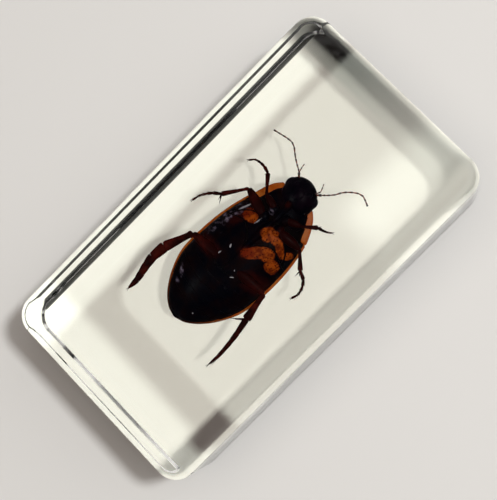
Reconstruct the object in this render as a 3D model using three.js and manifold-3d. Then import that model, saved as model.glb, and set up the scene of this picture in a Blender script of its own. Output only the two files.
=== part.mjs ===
// A diving beetle cast belly-up in a clear resin block.
// The resin is parted at mid-height into two halves, and the beetle lies in the pocket between them.
// Millimetres, +Z up. The origin is the bottom centre of the block, and +X runs towards the beetle's head.
import * as THREE from "three";
import { mergeVertices } from "three/addons/utils/BufferGeometryUtils.js";
import Module from "manifold-3d";

const wasm = await Module();
wasm.setup();

// ---------------------------------------------------------------- driving dimensions

const BLOCK_LENGTH = 73;
const BLOCK_WIDTH = 41;
const BLOCK_HEIGHT = 20;
const EDGE_RADIUS = 2; // rounding of the top and bottom edges
const CORNER_RADIUS = 4; // rounding of the four upright corners, seen from above
const PARTING_Z = 10;
const POCKET_GAP = 0.3; // between the beetle and the resin round it

// The body: its widest outline lies at RIM_Z, the back hangs below it and the belly rises above it.
const RIM_Z = 9.4;
const BACK_DEPTH = 0.55; // of the half-width
const RIM_THICKNESS = 0.1; // of the half-width
const BELLY_RISE = 0.58; // of the half-width
const RIM_WIDTH = 0.55; // of the wing cases' edge that shows round the belly

// The beetle lies slightly askew, with its front part turned a little the other way: the midline
// crosses the block's at BEND_X, and has one slope behind it and another in front.
const BEND_X = 8;
const REAR_SLOPE = -0.048;
const FRONT_SLOPE = 0.1;
const midline = (x) => (x - BEND_X) * (x < BEND_X ? REAR_SLOPE : FRONT_SLOPE);

// Half of the body's outline from the tail to the neck: distance along the block, half-width.
const OUTLINE = [
  [-17.4, 0],
  [-16.7, 2.1],
  [-14.8, 4.3],
  [-12.0, 6.2],
  [-8.2, 7.7],
  [-3.6, 8.0],
  [1.2, 7.75],
  [5.4, 7.0],
  [8.8, 5.9],
  [11.0, 4.8],
  [12.3, 3.6],
];
const OUTLINE_STATIONS = 16;

// Limbs: each station is x, y, z and the radius there. The legs that point to +Y are the upper ones.
const LIMBS = {
  frontLegUpper: {
    flat: 0.8,
    stations: [
      [8.3, 1.2, 12.6, 0.9],
      [8.7, 3.2, 12.9, 0.8],
      [9.0, 4.1, 12.7, 0.42],
      [10.3, 5.4, 12.4, 0.34],
      [11.6, 6.6, 12.1, 0.3],
      [11.9, 8.4, 11.8, 0.26],
      [11.7, 10.0, 11.6, 0.2],
      [10.8, 10.8, 11.5, 0.12],
    ],
  },
  frontLegLower: {
    flat: 0.8,
    stations: [
      [8.3, -1.6, 12.6, 0.9],
      [8.9, -3.4, 12.9, 0.8],
      [10.2, -4.2, 12.6, 0.42],
      [10.9, -5.3, 12.3, 0.34],
      [11.2, -6.7, 12.1, 0.28],
      [11.6, -7.8, 11.9, 0.2],
      [11.8, -8.4, 11.8, 0.12],
    ],
  },
  middleLegUpper: {
    flat: 0.75,
    stations: [
      [5.6, 1.6, 12.8, 1.0],
      [6.4, 3.6, 13.0, 0.9],
      [7.1, 5.6, 12.9, 0.75],
      [7.4, 6.9, 12.6, 0.45],
      [6.4, 7.7, 12.4, 0.3],
      [3.8, 9.7, 12.1, 0.4],
      [2.8, 11.0, 11.8, 0.26],
      [0.8, 12.5, 11.6, 0.22],
      [-1.1, 13.0, 11.5, 0.12],
    ],
  },
  middleLegLower: {
    flat: 0.75,
    stations: [
      [5.6, -1.4, 12.8, 1.0],
      [6.3, -3.4, 13.0, 0.9],
      [6.6, -5.2, 12.8, 0.7],
      [6.1, -6.3, 12.6, 0.42],
      [4.1, -8.7, 12.2, 0.38],
      [3.4, -10.2, 11.9, 0.26],
      [1.9, -11.3, 11.7, 0.22],
      [0.2, -11.5, 11.6, 0.18],
      [-0.7, -11.1, 11.6, 0.12],
    ],
  },
  hindLegUpper: {
    flat: 0.6,
    stations: [
      [-2.0, 2.0, 12.9, 1.1],
      [-3.2, 4.8, 13.0, 1.1],
      [-4.2, 7.6, 12.7, 0.95],
      [-4.7, 8.6, 12.5, 0.5],
      [-6.4, 9.2, 12.3, 0.4],
      [-10.1, 10.7, 11.9, 0.42],
      [-12.6, 10.9, 11.7, 0.56],
      [-15.6, 10.4, 11.5, 0.5],
      [-17.7, 10.0, 11.4, 0.34],
      [-19.8, 10.1, 11.3, 0.12],
    ],
  },
  hindLegLower: {
    flat: 0.6,
    stations: [
      [-2.0, -1.4, 12.9, 1.1],
      [-2.4, -4.2, 13.0, 1.1],
      [-2.6, -6.6, 12.7, 0.9],
      [-3.4, -7.4, 12.5, 0.45],
      [-6.2, -8.0, 12.2, 0.5],
      [-9.8, -8.6, 11.9, 0.5],
      [-11.7, -8.9, 11.7, 0.34],
      [-14.4, -9.2, 11.5, 0.26],
      [-17.2, -9.3, 11.4, 0.22],
      [-18.9, -9.1, 11.3, 0.12],
    ],
  },
  antennaUpper: {
    flat: 1,
    stations: [
      [14.4, 2.2, 10.6, 0.24],
      [15.5, 3.3, 10.5, 0.17],
      [16.4, 4.9, 10.4, 0.15],
      [18.0, 7.2, 10.3, 0.15],
      [18.2, 8.2, 10.2, 0.15],
      [17.9, 9.6, 10.2, 0.15],
      [17.5, 11.5, 10.1, 0.1],
    ],
  },
  antennaLower: {
    flat: 1,
    stations: [
      [14.4, -1.4, 10.6, 0.24],
      [15.4, -2.5, 10.5, 0.17],
      [16.8, -3.9, 10.4, 0.15],
      [18.6, -5.0, 10.3, 0.15],
      [19.9, -6.6, 10.2, 0.15],
      [20.1, -7.7, 10.2, 0.15],
      [19.4, -9.2, 10.1, 0.1],
    ],
  },
  palpUpper: {
    flat: 1,
    stations: [
      [14.2, 1.6, 11.0, 0.24],
      [15.5, 2.9, 11.2, 0.2],
      [17.0, 3.4, 11.2, 0.12],
    ],
  },
  palpLower: {
    flat: 1,
    stations: [
      [14.2, -1.0, 11.0, 0.24],
      [15.7, -1.8, 11.2, 0.2],
      [16.9, -1.3, 11.2, 0.12],
    ],
  },
  spurMiddleUpper: {
    flat: 1,
    stations: [
      [3.9, 9.5, 12.0, 0.16],
      [1.9, 9.0, 12.0, 0.08],
    ],
  },
  spurMiddleLower: {
    flat: 1,
    stations: [
      [4.1, -8.6, 12.1, 0.16],
      [2.4, -9.0, 12.0, 0.08],
    ],
  },
  spurHindLower: {
    flat: 1,
    stations: [
      [-8.4, -8.2, 12.0, 0.18],
      [-9.9, -6.3, 11.9, 0.08],
    ],
  },
};
const LIMB_SIDES = 8;
const UP = new THREE.Vector3(0, 0, 1);

// Round parts of the body: x, distance from the midline, z, and the three half-axes.
const HEAD = { x: 12.5, z: 10.2, axes: [3.1, 3.3, 2.5] };
const HEAD_OUT = -0.2; // the head sits this far from the midline, towards +Y
const EYE = { x: 13.2, out: 2.7, z: 10.4, axes: [1.0, 0.85, 1.0] };
const KEEL = { x: 4.6, z: 12.4, axes: [8.2, 1.5, 1.9] };
const HIND_PLATE = { x: -1.6, out: 2.9, z: 12.1, axes: [3.6, 3.4, 1.7] };

// ---------------------------------------------------------------- closed shapes

// A closed geometry as a solid that can be joined and cut.
function solid(geometry) {
  const bare = geometry.index ? geometry.toNonIndexed() : geometry.clone();
  bare.deleteAttribute("normal");
  bare.deleteAttribute("uv");
  const merged = mergeVertices(bare, 1e-4);
  const corners = merged.index.array;
  const kept = [];
  for (let i = 0; i < corners.length; i += 3) {
    const [a, b, c] = [corners[i], corners[i + 1], corners[i + 2]];
    if (a !== b && b !== c && c !== a) kept.push(a, b, c);
  }
  const mesh = new wasm.Mesh({
    numProp: 3,
    vertProperties: new Float32Array(merged.attributes.position.array),
    triVerts: new Uint32Array(kept),
  });
  return new wasm.Manifold(mesh);
}

// A solid as a named mesh of the scene.
function named(name, made, material) {
  const { numProp, vertProperties, triVerts } = made.getMesh();
  const geometry = new THREE.BufferGeometry();
  geometry.setAttribute("position", new THREE.BufferAttribute(vertProperties, numProp));
  geometry.setIndex(new THREE.BufferAttribute(triVerts, 1));
  geometry.computeVertexNormals();
  const mesh = new THREE.Mesh(geometry, material);
  mesh.name = name;
  return mesh;
}

// Moves every vertex of a geometry to where `place` puts it.
function reshape(geometry, place) {
  const position = geometry.attributes.position;
  const point = new THREE.Vector3();
  for (let i = 0; i < position.count; i++) {
    point.fromBufferAttribute(position, i);
    place(point);
    position.setXYZ(i, point.x, point.y, point.z);
  }
  return geometry;
}

// A round body on the midline: profile points are [x, half-width], and the half above the rim and the
// half below it have their own height as a share of the half-width.
function bodyOfRevolution(profile, up, down, sides) {
  const points = profile.map(([x, halfWidth]) => new THREE.Vector2(halfWidth, x));
  const lathe = new THREE.LatheGeometry(points, sides);
  return reshape(lathe, (p) => {
    const x = p.y;
    const across = -p.x;
    const height = p.z * (p.z > 0 ? up : down);
    p.set(x, midline(x) + across, RIM_Z + height);
  });
}

// The outline as an even run of stations, drawn in by `inset` (or out, where it is negative).
function outlineProfile(inset) {
  const curve = new THREE.SplineCurve(OUTLINE.map(([x, y]) => new THREE.Vector2(x, y)));
  const run = curve.getPoints(OUTLINE_STATIONS);
  const inner = run.slice(1).map((p) => [p.x, p.y - inset]);
  const tail = [run[0].x + inset, 0];
  const neck = run[run.length - 1];
  return [tail, ...inner, [neck.x - inset, 0]];
}

// A limb through its stations, tapered from one radius to the next and closed at both ends.
function limb({ stations, flat }, grow) {
  const centres = stations.map(([x, y, z]) => new THREE.Vector3(x, y, z));
  const last = centres.length - 1;
  const along = centres.map((_, i) => {
    const before = centres[Math.max(i - 1, 0)];
    const after = centres[Math.min(i + 1, last)];
    return after.clone().sub(before).normalize();
  });
  centres[0].addScaledVector(along[0], -grow);
  centres[last].addScaledVector(along[last], grow);
  const rings = stations.map(([, , , radius], i) => new THREE.Vector2(radius + grow, i));
  const profile = [new THREE.Vector2(0, 0), ...rings, new THREE.Vector2(0, last)];
  return reshape(new THREE.LatheGeometry(profile, LIMB_SIDES), (p) => {
    const i = Math.round(p.y);
    const side = new THREE.Vector3().crossVectors(along[i], UP).normalize();
    const up = new THREE.Vector3().crossVectors(side, along[i]);
    const squash = (stations[i][3] * flat + grow) / (stations[i][3] + grow);
    const [across, above] = [p.x, p.z * squash];
    p.copy(centres[i]).addScaledVector(side, across).addScaledVector(up, above);
  });
}

// An egg shape with the given half-axes, off the midline by `out`.
function egg({ x, z, axes }, out, grow, sides = 12) {
  const ball = new THREE.SphereGeometry(1, sides, Math.round(sides * 0.7));
  ball.rotateX(Math.PI / 2);
  const [a, b, c] = axes.map((half) => half + grow);
  ball.scale(a, b, c);
  return ball.translate(x, midline(x) + out, z);
}

// ---------------------------------------------------------------- the beetle

// Every form of the beetle joined in one solid; `grow` swells each of them, for the pocket.
function beetleSolid(grow) {
  const body = bodyOfRevolution(
    outlineProfile(-grow),
    RIM_THICKNESS + grow / 4,
    BACK_DEPTH,
    24,
  );
  const belly = bodyOfRevolution(outlineProfile(RIM_WIDTH - grow), BELLY_RISE, 0.2, 20);
  const forms = [
    body,
    belly,
    egg(HEAD, HEAD_OUT, grow, 16),
    egg(EYE, HEAD_OUT + EYE.out, grow, 10),
    egg(EYE, HEAD_OUT - EYE.out, grow, 10),
    egg(KEEL, 0, grow, 12),
    egg(HIND_PLATE, HIND_PLATE.out, grow, 12),
    egg(HIND_PLATE, -HIND_PLATE.out, grow, 12),
    ...Object.values(LIMBS).map((shape) => limb(shape, grow)),
  ];
  return forms.map(solid).reduce((joined, next) => joined.add(next));
}

// ---------------------------------------------------------------- the resin block

// The whole slab, with all its edges and corners rounded.
function slabSolid() {
  const [halfLength, halfWidth] = [BLOCK_LENGTH / 2 - EDGE_RADIUS, BLOCK_WIDTH / 2 - EDGE_RADIUS];
  const corner = CORNER_RADIUS - EDGE_RADIUS;
  const plan = new THREE.Shape();
  const corners = [
    [1, 1],
    [-1, 1],
    [-1, -1],
    [1, -1],
  ];
  corners.forEach(([sx, sy], i) => {
    const start = (i * Math.PI) / 2;
    const centre = [sx * (halfLength - corner), sy * (halfWidth - corner)];
    plan.absarc(centre[0], centre[1], corner, start, start + Math.PI / 2);
  });
  plan.closePath();
  const slab = new THREE.ExtrudeGeometry(plan, {
    depth: BLOCK_HEIGHT - 2 * EDGE_RADIUS,
    curveSegments: 6,
    bevelThickness: EDGE_RADIUS,
    bevelSize: EDGE_RADIUS,
    bevelSegments: 5,
  });
  return solid(slab.translate(0, 0, EDGE_RADIUS));
}

// A box that takes in everything from z = low to z = high.
function layer(low, high) {
  const box = new THREE.BoxGeometry(2 * BLOCK_LENGTH, 2 * BLOCK_WIDTH, high - low);
  return solid(box.translate(0, 0, (low + high) / 2));
}

const slab = slabSolid();
const pocket = beetleSolid(POCKET_GAP);
const upperLayer = layer(PARTING_Z, 2 * BLOCK_HEIGHT);
const lowerLayer = layer(-BLOCK_HEIGHT, PARTING_Z);

// ---------------------------------------------------------------- materials and scene

const resin = () =>
  new THREE.MeshStandardMaterial({
    color: 0xeef0e6,
    roughness: 0.04,
    metalness: 0,
    transparent: true,
    opacity: 0.25,
  });
const chitin = new THREE.MeshStandardMaterial({ color: 0x2a120a, roughness: 0.3, metalness: 0 });

const object = new THREE.Group();
object.add(named("resin_lower", slab.intersect(lowerLayer).subtract(pocket), resin()));
object.add(named("resin_upper", slab.intersect(upperLayer).subtract(pocket), resin()));
object.add(named("beetle", beetleSolid(0), chitin));

export default object;
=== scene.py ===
"""A diving beetle cast belly-up in a clear resin block, dressed for its portrait.

The block is worked in metres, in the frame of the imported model: the origin is the bottom centre of the
block, +X runs towards the beetle's head and +Z up. The beetle is worked in millimetres in that same frame,
and each of its pieces is brought to metres as it is finished.
"""
import math
import random

import bpy
from mathutils import Matrix, Vector


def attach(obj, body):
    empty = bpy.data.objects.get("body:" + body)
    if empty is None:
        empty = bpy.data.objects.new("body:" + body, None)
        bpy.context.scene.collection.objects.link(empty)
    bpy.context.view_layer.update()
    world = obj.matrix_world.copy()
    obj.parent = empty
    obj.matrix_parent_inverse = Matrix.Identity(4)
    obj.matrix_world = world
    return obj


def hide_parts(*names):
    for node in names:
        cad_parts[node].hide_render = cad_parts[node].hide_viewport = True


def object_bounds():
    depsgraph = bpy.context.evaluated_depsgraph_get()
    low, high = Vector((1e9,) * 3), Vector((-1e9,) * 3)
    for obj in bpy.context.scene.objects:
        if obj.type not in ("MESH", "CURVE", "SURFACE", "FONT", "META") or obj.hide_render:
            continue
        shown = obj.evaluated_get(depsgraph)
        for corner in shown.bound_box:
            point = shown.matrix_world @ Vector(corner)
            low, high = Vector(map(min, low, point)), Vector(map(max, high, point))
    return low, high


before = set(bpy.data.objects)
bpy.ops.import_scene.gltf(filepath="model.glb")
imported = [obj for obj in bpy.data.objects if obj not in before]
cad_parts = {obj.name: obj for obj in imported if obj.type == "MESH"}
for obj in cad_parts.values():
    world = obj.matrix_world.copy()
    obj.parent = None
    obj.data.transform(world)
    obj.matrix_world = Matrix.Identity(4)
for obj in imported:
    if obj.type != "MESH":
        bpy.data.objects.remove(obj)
cad_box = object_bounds()
MM = 0.001
chance = random.Random(11)

# ------------ driving sizes: the block, in metres
BLOCK_LOW, BLOCK_HIGH = (Vector(corner) for corner in cad_box)
CORNER_RADIUS = 4.0 * MM
EDGE_RADIUS = 2.0 * MM   # of the edge round the top
FOOT_RADIUS = 0.9 * MM   # and of the one round the foot
AIR_GAP = 0.05 * MM      # the block touches the table only here and there
PAPER_INSET = 0.1 * MM
SAME_HEIGHT = 0.001 * MM
TABLE_SIZE = 4.0
RESIN_IOR = 1.5

CAMERA_AT = Vector((16.1, -32.1, 208.2)) * MM
CAMERA_TILTS = (-0.1633, -0.0817, 0.7909)
FOCAL_PIXELS = 1160.0
FRAME_PIXELS = 500.0
SENSOR_WIDTH = 36.0

# ------------ driving sizes: the beetle, in millimetres
# Its widest outline lies at RIM_Z; the back hangs below it and the belly rises above it.
RIM_Z = 9.4
BACK_DEPTH = 0.55      # share of the half-width
RIM_RISE = 0.1
BELLY_RISE = 0.58
REAR_RIM = 0.5         # how far the wing cases show round the belly
FRONT_RIM = 1.2        # and how far the neck shield does
BELLY_REACH = (-16.85, 12.05)
MEMBRANE_REACH = (-16.75, 11.85)
HEAD_SHIFT = -0.2      # the head sits a little beside the midline
BEND_X = 8.0
LEAST_WIDTH = 0.05     # of a ring at the tail, so that none closes to a point
REAR_SLOPE = -0.048    # the midline's slopes before and behind BEND_X
FRONT_SLOPE = 0.1
OUTLINE = [
    (-17.4, 0.02), (-16.7, 2.1), (-14.8, 4.3), (-12.0, 6.2), (-8.2, 7.7), (-3.6, 8.0),
    (1.2, 7.75), (5.4, 7.0), (8.8, 5.9), (11.0, 4.8), (12.3, 3.6),
]

# Plates of the underside, as outlines of (distance along the block, distance out from the midline).
# A half outline starts and ends on the midline and is mirrored; a side outline is made once for each side.
BREAST_HALF = [
    (-1.0, 0), (0.3, 0.33), (1.5, 0.8), (2.5, 1.85), (3.1, 2.9), (3.15, 4.3), (2.7, 5.4), (2.35, 6.0),
    (2.95, 5.85), (3.9, 5.25), (5.0, 4.1), (5.45, 3.1), (5.5, 2.3), (5.3, 1.2), (6.2, 0.5), (6.5, 0),
]
FLANK_SIDE = [
    (2.25, 6.4), (3.05, 6.1), (4.05, 5.5), (5.2, 4.25), (5.68, 3.2), (5.85, 2.4), (6.6, 2.5), (7.0, 4.0),
    (6.9, 5.6), (6.7, 7.6), (4.5, 8.4), (1.8, 8.8),
]
HIND_COXA_SIDE = [
    (-1.3, 0.1), (0.1, 0.45), (1.35, 0.98), (2.3, 2.0), (2.92, 3.0), (2.97, 4.2), (2.5, 5.35), (1.95, 6.4),
    (1.3, 8.8), (-3.0, 8.9), (-3.6, 6.5), (-4.5, 4.2), (-4.8, 2.4), (-5.2, 1.4), (-5.4, 0.6), (-4.9, 0.1),
]
THROAT_HALF = [
    (6.9, 0), (7.0, 1.2), (7.4, 2.6), (8.2, 3.9), (9.2, 4.2), (10.3, 4.0), (11.4, 3.5), (12.0, 2.6),
    (12.2, 0),
]
FIRST_BELLY_HALF = [
    (-5.1, 0), (-5.55, 0.7), (-5.35, 1.5), (-4.95, 2.5), (-4.65, 4.3), (-3.72, 6.6), (-3.1, 9.0),
    (-5.6, 9.0), (-6.6, 5.0), (-7.1, 2.5), (-7.2, 0),
]
BELLY_JOINTS = [-7.3, -9.4, -11.4, -13.3, -17.4]   # where the later belly rings meet, on the midline
JOINT_CURVE = 0.028                                # how much a joint bends forward towards the margin
JOINT_GAP = 0.1
MIDDLE_REACH = 0.02   # points nearer than this to the midline lie on it


def midline(x):
    return (x - BEND_X) * (REAR_SLOPE if x < BEND_X else FRONT_SLOPE)


def on_midline(point):
    return abs(point.y - midline(point.x)) < MIDDLE_REACH


# Each leg: hip, knee, ankle, the run of its foot, and its thickness (thigh, shin, foot).
LEGS = {
    "front_leg_upper": dict(
        hip=(8.2, 1.3, 13.2), knee=(8.9, 4.2, 13.0), ankle=(11.6, 6.7, 12.1),
        foot=[(11.6, 6.7, 12.1), (12.0, 8.3, 11.8), (11.7, 10.0, 11.6), (10.9, 10.7, 11.5)],
        thick=(0.66, 0.42, 0.31), hairs=0, spurs=[(11.0, 6.9, 12.2)],
    ),
    "front_leg_lower": dict(
        hip=(8.2, -1.4, 13.2), knee=(9.2, -3.9, 12.9), ankle=(11.0, -6.0, 12.2),
        foot=[(11.0, -6.0, 12.2), (11.25, -6.9, 12.0), (11.6, -7.7, 11.9), (12.0, -8.2, 11.8)],
        thick=(0.66, 0.42, 0.3), hairs=0, spurs=[(11.6, -6.3, 12.2)],
    ),
    "middle_leg_upper": dict(
        hip=(5.9, 1.9, 13.3), knee=(7.5, 7.1, 12.6), ankle=(3.5, 9.9, 12.1),
        foot=[(3.5, 9.9, 12.1), (2.7, 11.0, 11.8), (0.9, 12.4, 11.6), (-0.8, 12.9, 11.5)],
        thick=(0.95, 0.46, 0.34), hairs=16, spurs=[(2.4, 9.6, 12.0), (1.9, 8.9, 12.0)],
    ),
    "middle_leg_lower": dict(
        hip=(5.9, -1.5, 13.3), knee=(6.3, -6.4, 12.6), ankle=(3.8, -9.0, 12.1),
        foot=[(3.8, -9.0, 12.1), (3.2, -10.3, 11.9), (1.8, -11.3, 11.7), (0.2, -11.5, 11.6),
              (-0.5, -11.2, 11.6)],
        thick=(0.9, 0.46, 0.36), hairs=16, spurs=[(2.4, -9.0, 12.0), (2.9, -9.6, 12.0)],
    ),
    "hind_leg_upper": dict(
        hip=(-4.0, 1.7, 13.5), knee=(-4.7, 8.6, 12.5), ankle=(-9.9, 10.6, 11.9),
        foot=[(-9.9, 10.6, 11.9), (-12.6, 10.9, 11.7), (-15.6, 10.4, 11.5), (-17.7, 10.0, 11.4),
              (-19.5, 10.1, 11.3)],
        thick=(1.0, 0.95, 1.0), hairs=60, spurs=[(-11.2, 9.9, 11.8), (-11.5, 10.3, 11.7)],
    ),
    "hind_leg_lower": dict(
        hip=(-3.8, -1.0, 13.5), knee=(-3.3, -7.4, 12.5), ankle=(-8.5, -8.3, 12.0),
        foot=[(-8.5, -8.3, 12.0), (-11.7, -8.9, 11.7), (-14.4, -9.2, 11.5), (-17.2, -9.3, 11.4),
              (-18.7, -9.1, 11.3)],
        thick=(1.0, 0.8, 0.56), hairs=60, spurs=[(-10.4, -6.1, 12.1), (-9.9, -6.9, 12.1)],
    ),
}
FOOT_SHARES = (0.28, 0.19, 0.17, 0.14, 0.22)   # how the five joints of a foot share its length
SPUR_THICK, SWIMMING_SPUR_THICK, CLAW_THICK, CLAW_TIP_THICK = 0.13, 0.2, 0.075, 0.055
CLAW_SIZE = 0.55
HAIR_THICK = 0.035

FEELERS = {
    "antenna_upper": [(14.4, 2.2, 10.6), (15.5, 3.3, 10.5), (16.4, 4.9, 10.4), (17.5, 6.4, 10.3),
                      (18.1, 7.2, 10.3), (18.2, 8.2, 10.2), (17.9, 9.8, 10.2), (17.5, 11.5, 10.1)],
    "antenna_lower": [(14.4, -1.4, 10.6), (15.7, -2.8, 10.5), (16.9, -3.9, 10.4), (18.3, -4.7, 10.3),
                      (19.5, -6.0, 10.2), (20.0, -6.9, 10.2), (20.05, -7.7, 10.2), (19.4, -9.2, 10.1)],
}
FEELER_SHARES = (0.13, 0.06, 0.075, 0.09, 0.095, 0.095, 0.095, 0.095, 0.09, 0.085, 0.09)
PALPS = {
    "palp_upper": [(14.3, 1.7, 11.0), (15.5, 3.1, 11.2), (17.0, 3.4, 11.2)],
    "palp_lower": [(14.3, -1.1, 11.0), (15.5, -1.95, 11.2), (16.9, -1.35, 11.2)],
}
PALP_SHARES = (0.22, 0.3, 0.3, 0.18)

# Profiles of one joint of a limb: (share of its length, share of its thickness).
THIGH = [(0, 0.2), (0.02, 0.42), (0.1, 0.72), (0.25, 0.94), (0.42, 1), (0.65, 0.92), (0.84, 0.68),
         (0.94, 0.55), (0.985, 0.42), (1, 0.2)]
SHIN = [(0, 0.25), (0.03, 0.6), (0.09, 0.7), (0.16, 0.58), (0.4, 0.66), (0.7, 0.85), (0.92, 1), (0.98, 0.9),
        (1, 0.5)]
FOOT_JOINT = [(0, 0.4), (0.04, 0.68), (0.2, 0.76), (0.6, 0.9), (0.9, 1), (0.98, 0.9), (1, 0.5)]
FIN_TIP = [(0, 0.88), (0.08, 0.97), (0.4, 0.82), (0.75, 0.5), (0.95, 0.24), (1, 0.1)]
FIN_JOINT = [(0, 0.9), (0.06, 1), (0.5, 0.95), (0.9, 0.84), (0.97, 0.8), (1, 0.72)]   # of the swimming feet
FEELER_JOINT = [(0, 0.3), (0.06, 0.5), (0.3, 0.66), (0.62, 0.86), (0.9, 1), (0.98, 0.8), (1, 0.35)]
SPIKE = [(0, 0.6), (0.1, 1), (0.45, 0.72), (0.8, 0.34), (1, 0.04)]
HAIR_SHAPE = [(0, 1), (0.5, 0.7), (1, 0.1)]
DARK_FROM = 0.62   # share of a feeler joint's length beyond which it is dark


# ------------ working by hand
def to_mode(mode):
    bpy.ops.object.mode_set(mode=mode)


def deselect():
    if bpy.context.object and bpy.context.object.mode != "OBJECT":
        to_mode("OBJECT")
    bpy.ops.object.select_all(action="DESELECT")


def called(name):
    """The piece that was just added, under its name."""
    piece = bpy.context.object
    piece.name = name
    return piece


def choose(*pieces):
    """Selects only these pieces, and makes the first one active."""
    deselect()
    for piece in pieces:
        piece.select_set(True)
    bpy.context.view_layer.objects.active = pieces[0]


def select_whole_mesh():
    bpy.ops.mesh.select_all(action="SELECT")


def edit_all(mode):
    """Goes into edit mode on the active piece with all of it selected."""
    to_mode("EDIT")
    bpy.ops.mesh.select_mode(type=mode)
    select_whole_mesh()


def settle(piece):
    """Puts the piece's place, turn and size into its mesh."""
    choose(piece)
    bpy.ops.object.transform_apply(location=True, rotation=True, scale=True)
    return piece


def add_modifier(piece, kind, **settings):
    choose(piece)
    modifier = piece.modifiers.new(kind.lower(), kind)
    for name, value in settings.items():
        setattr(modifier, name, value)
    bpy.ops.object.modifier_apply(modifier=modifier.name)


def edit(piece, mode="VERT"):
    """Goes into edit mode with nothing selected."""
    choose(piece)
    to_mode("EDIT")
    bpy.ops.mesh.select_mode(type=mode)
    bpy.ops.mesh.select_all(action="DESELECT")


def pick_edges(piece, wanted):
    """Selects the edges whose two ends satisfy wanted(a, b), in edge mode."""
    edit(piece, "EDGE")
    to_mode("OBJECT")
    points = piece.data.vertices
    for edge in piece.data.edges:
        a, b = (points[i].co for i in edge.vertices)
        edge.select = wanted(a, b)
    to_mode("EDIT")


def pick_level_faces(piece):
    """Selects the faces that look up or down, in face mode."""
    edit(piece, "FACE")
    to_mode("OBJECT")
    for face in piece.data.polygons:
        face.select = abs(face.normal.z) > 0.5
    to_mode("EDIT")


def pick_points(piece, wanted):
    """Selects the points that satisfy wanted(point), in vertex mode."""
    edit(piece)
    to_mode("OBJECT")
    for point in piece.data.vertices:
        point.select = wanted(point.co)
    to_mode("EDIT")


def tidy_normals(piece):
    choose(piece)
    to_mode("EDIT")
    select_whole_mesh()
    bpy.ops.mesh.normals_make_consistent(inside=False)
    to_mode("OBJECT")
    return piece


def copy_of(piece, name):
    made = piece.copy()
    made.data = piece.data.copy()
    made.name = name
    bpy.context.scene.collection.objects.link(made)
    return made


def discard(*pieces):
    choose(*pieces)
    bpy.ops.object.delete()


def joined(pieces, name):
    choose(*pieces)
    if len(pieces) > 1:
        bpy.ops.object.join()
    pieces[0].name = name
    return pieces[0]


def smooth_run(points, count):
    """`count` + 1 points evenly spread on a smooth curve through the given ones."""
    ends = [points[0], *points, points[-1]]
    fine = []
    for i in range(1, len(ends) - 2):
        p0, p1, p2, p3 = (Vector(p) for p in ends[i - 1:i + 3])
        for k in range(16):
            t = k / 16
            fine.append(0.5 * (2 * p1 + (p2 - p0) * t + (2 * p0 - 5 * p1 + 4 * p2 - p3) * t * t
                               + (3 * p1 - p0 - 3 * p2 + p3) * t ** 3))
    fine.append(Vector(points[-1]))
    return [at_share(fine, k / count) for k in range(count + 1)]


def at_share(run, share):
    """The point that lies at a share of the run's whole length."""
    steps = [(b - a).length for a, b in zip(run, run[1:])]
    left = share * sum(steps)
    for a, b, step in zip(run, run[1:], steps):
        if left <= step or b is run[-1]:
            return a.lerp(b, min(left / step, 1.0)) if step else a.copy()
        left -= step


# ------------ forms
def loft(name, rings, sides=64):
    """A closed form along X, extruded from ring to ring; a ring is x, y, z, half-width and half-height."""
    x, y, z, wide, high = rings[0]
    deselect()
    bpy.ops.mesh.primitive_circle_add(
        vertices=sides, radius=1, fill_type="NGON", location=(x, y, z), rotation=(0, math.pi / 2, 0)
    )
    form = called(name)
    form.scale = (high, wide, 1)
    settle(form)
    edit_all("FACE")
    for before, after in zip(rings, rings[1:]):
        step = [b - a for a, b in zip(before[:3], after[:3])]
        bpy.ops.mesh.extrude_region_move(TRANSFORM_OT_translate={"value": step})
        bpy.ops.transform.resize(
            value=(1, after[3] / before[3], after[4] / before[4]), center_override=after[:3]
        )
    return tidy_normals(form)


def spindle(name, profile, sides=16):
    """One joint of a limb, standing on the origin: 1 long and 1 in half-thickness."""
    deselect()
    bpy.ops.mesh.primitive_circle_add(vertices=sides, radius=profile[0][1], fill_type="NGON")
    form = called(name)
    edit_all("FACE")
    for (low, thin), (high, thick) in zip(profile, profile[1:]):
        bpy.ops.mesh.extrude_region_move(TRANSFORM_OT_translate={"value": (0, 0, high - low)})
        bpy.ops.transform.resize(value=(thick / thin, thick / thin, 1), center_override=(0, 0, high))
    tidy_normals(form)
    bpy.ops.object.shade_smooth()
    return form


def laid(form, name, start, end, thick, flat=1.0):
    """A copy of a joint, laid from start to end; flat is its height as a share of its width."""
    start, end = Vector(start), Vector(end)
    along = (end - start).normalized()
    side = along.cross(Vector((0, 0, 1)))
    side = side.normalized() if side.length > 1e-6 else Vector((1, 0, 0))
    up = along.cross(side)
    made = copy_of(form, name)
    turn = Matrix((side, up, along)).transposed().to_4x4()
    size = Matrix.Diagonal((thick, thick * flat, (end - start).length, 1))
    made.matrix_world = Matrix.Translation(start) @ turn @ size
    return settle(made)


def pebble(name, centre, axes, rings=20):
    """A ball pressed to the given half-axes."""
    deselect()
    bpy.ops.mesh.primitive_uv_sphere_add(segments=2 * rings, ring_count=rings, radius=1, location=centre)
    form = called(name)
    form.scale = axes
    settle(form)
    bpy.ops.object.shade_smooth()
    return form


def traced(name, outline, low, high):
    """A slab whose outline is drawn point by point and then raised."""
    deselect()
    bpy.ops.mesh.primitive_plane_add(size=0.1, location=(*outline[0], low))
    slab = called(name)
    settle(slab)
    edit_all("VERT")
    bpy.ops.mesh.merge(type="CENTER")
    for (x0, y0), (x1, y1) in zip(outline, outline[1:]):
        bpy.ops.mesh.extrude_vertices_move(TRANSFORM_OT_translate={"value": (x1 - x0, y1 - y0, 0)})
    select_whole_mesh()
    bpy.ops.mesh.edge_face_add()
    bpy.ops.mesh.extrude_region_move(TRANSFORM_OT_translate={"value": (0, 0, high - low)})
    return tidy_normals(slab)


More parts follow.
